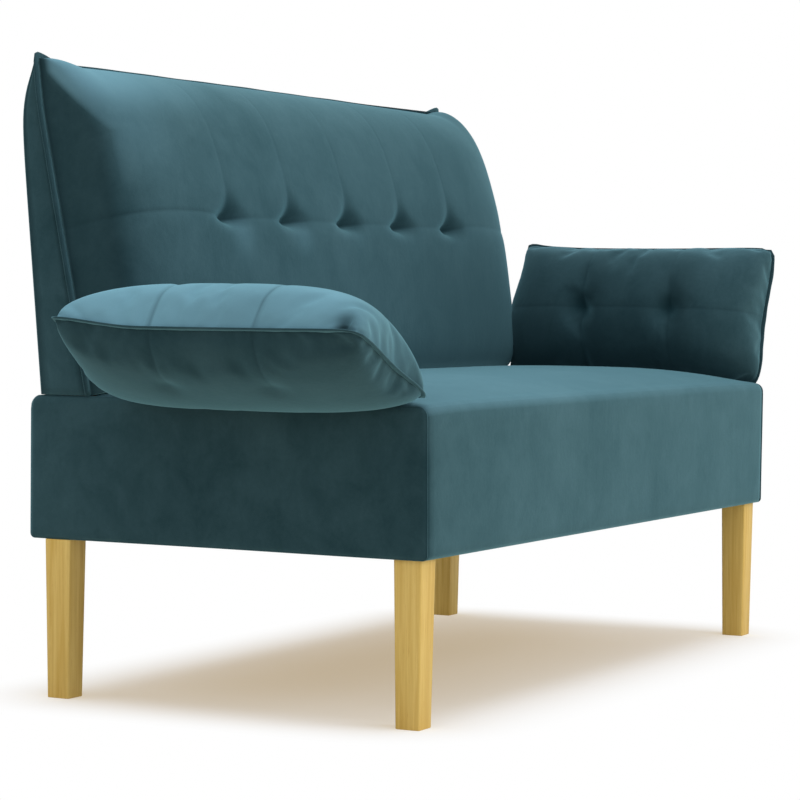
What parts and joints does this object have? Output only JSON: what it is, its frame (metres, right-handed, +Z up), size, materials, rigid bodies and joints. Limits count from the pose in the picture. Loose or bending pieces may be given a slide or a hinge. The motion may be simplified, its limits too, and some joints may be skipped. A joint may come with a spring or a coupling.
{
  "type": "dining sofa",
  "caption": "Dining sofa in teal velvet: upholstered seat box on tapered oak legs, leaning blind-tufted backrest and two arms that tilt outwards on hidden ratchet hinges.",
  "frame": {"origin": "on the floor, under the middle of the seat box", "axes": "+X to the right as seen from the front, along the width; the front faces -Y; +Z up"},
  "size_m": [1.6324, 0.6949, 0.9688],
  "materials": {
    "velvet": "teal velvet with a short nap",
    "welt_velvet": "the same velvet, folded into a flat welt",
    "oak": "pale oak, oiled",
    "beech": "sawn and planed, unfinished",
    "plywood": "birch plywood, unfinished",
    "foam": "open-cell upholstery foam",
    "webbing": "woven elastic webbing",
    "dust_cloth": "black non-woven cloth",
    "cord": "twisted upholstery twine",
    "steel": "zinc plated",
    "spring_steel": "blued spring steel"
  },
  "bodies": {
    "base": {"front_left_leg": "oak", "front_right_leg": "oak", "rear_left_leg": "oak", "rear_right_leg": "oak", "leg_bolts": "steel", "corner_posts": "beech", "seat_front_rail": "beech", "seat_rear_rail": "beech", "seat_left_rail": "beech", "seat_right_rail": "beech", "seat_centre_rail": "beech", "seat_webbing": "webbing", "seat_cross_webbing": "webbing", "seat_foam": "foam", "seat_cover": "velvet", "seat_left_panel": "velvet", "seat_right_panel": "velvet", "seat_rear_panel": "velvet", "dust_cloth": "dust_cloth", "back_left_post": "beech", "back_right_post": "beech", "back_top_rail": "beech", "back_middle_rail": "beech", "back_bottom_rail": "beech", "back_steel_straps": "steel", "back_strap_bolts": "steel", "back_webbing": "webbing", "back_foam": "foam", "back_front_cover": "velvet", "back_rear_cover": "velvet", "back_welt": "welt_velvet", "back_tuft_cords": "cord", "left_hinge_brackets": "steel", "left_bracket_screws": "steel", "left_hinge_pins": "steel", "left_detent_springs": "spring_steel", "right_hinge_brackets": "steel", "right_bracket_screws": "steel", "right_hinge_pins": "steel", "right_detent_springs": "spring_steel"},
    "left_arm": {"left_arm_board": "plywood", "left_arm_inner_foam": "foam", "left_arm_outer_foam": "foam", "left_arm_inner_cover": "velvet", "left_arm_outer_cover": "velvet", "left_arm_welt": "welt_velvet", "left_hinge_leaves": "steel", "left_leaf_screws": "steel", "left_arm_tuft_cords": "cord"},
    "right_arm": {"right_arm_board": "plywood", "right_arm_inner_foam": "foam", "right_arm_outer_foam": "foam", "right_arm_inner_cover": "velvet", "right_arm_outer_cover": "velvet", "right_arm_welt": "welt_velvet", "right_hinge_leaves": "steel", "right_leaf_screws": "steel", "right_arm_tuft_cords": "cord"}
  },
  "joints": [
    {"name": "left_arm_tilt", "type": "hinge", "parent": "base", "child": "left_arm", "pos_m": [-0.67, -0.087, 0.478], "axis": [0, -1, 0], "range_deg": [-58, 22]},
    {"name": "right_arm_tilt", "type": "hinge", "parent": "base", "child": "right_arm", "pos_m": [0.67, -0.087, 0.478], "axis": [0, 1, 0], "range_deg": [0, 80]}
  ]
}
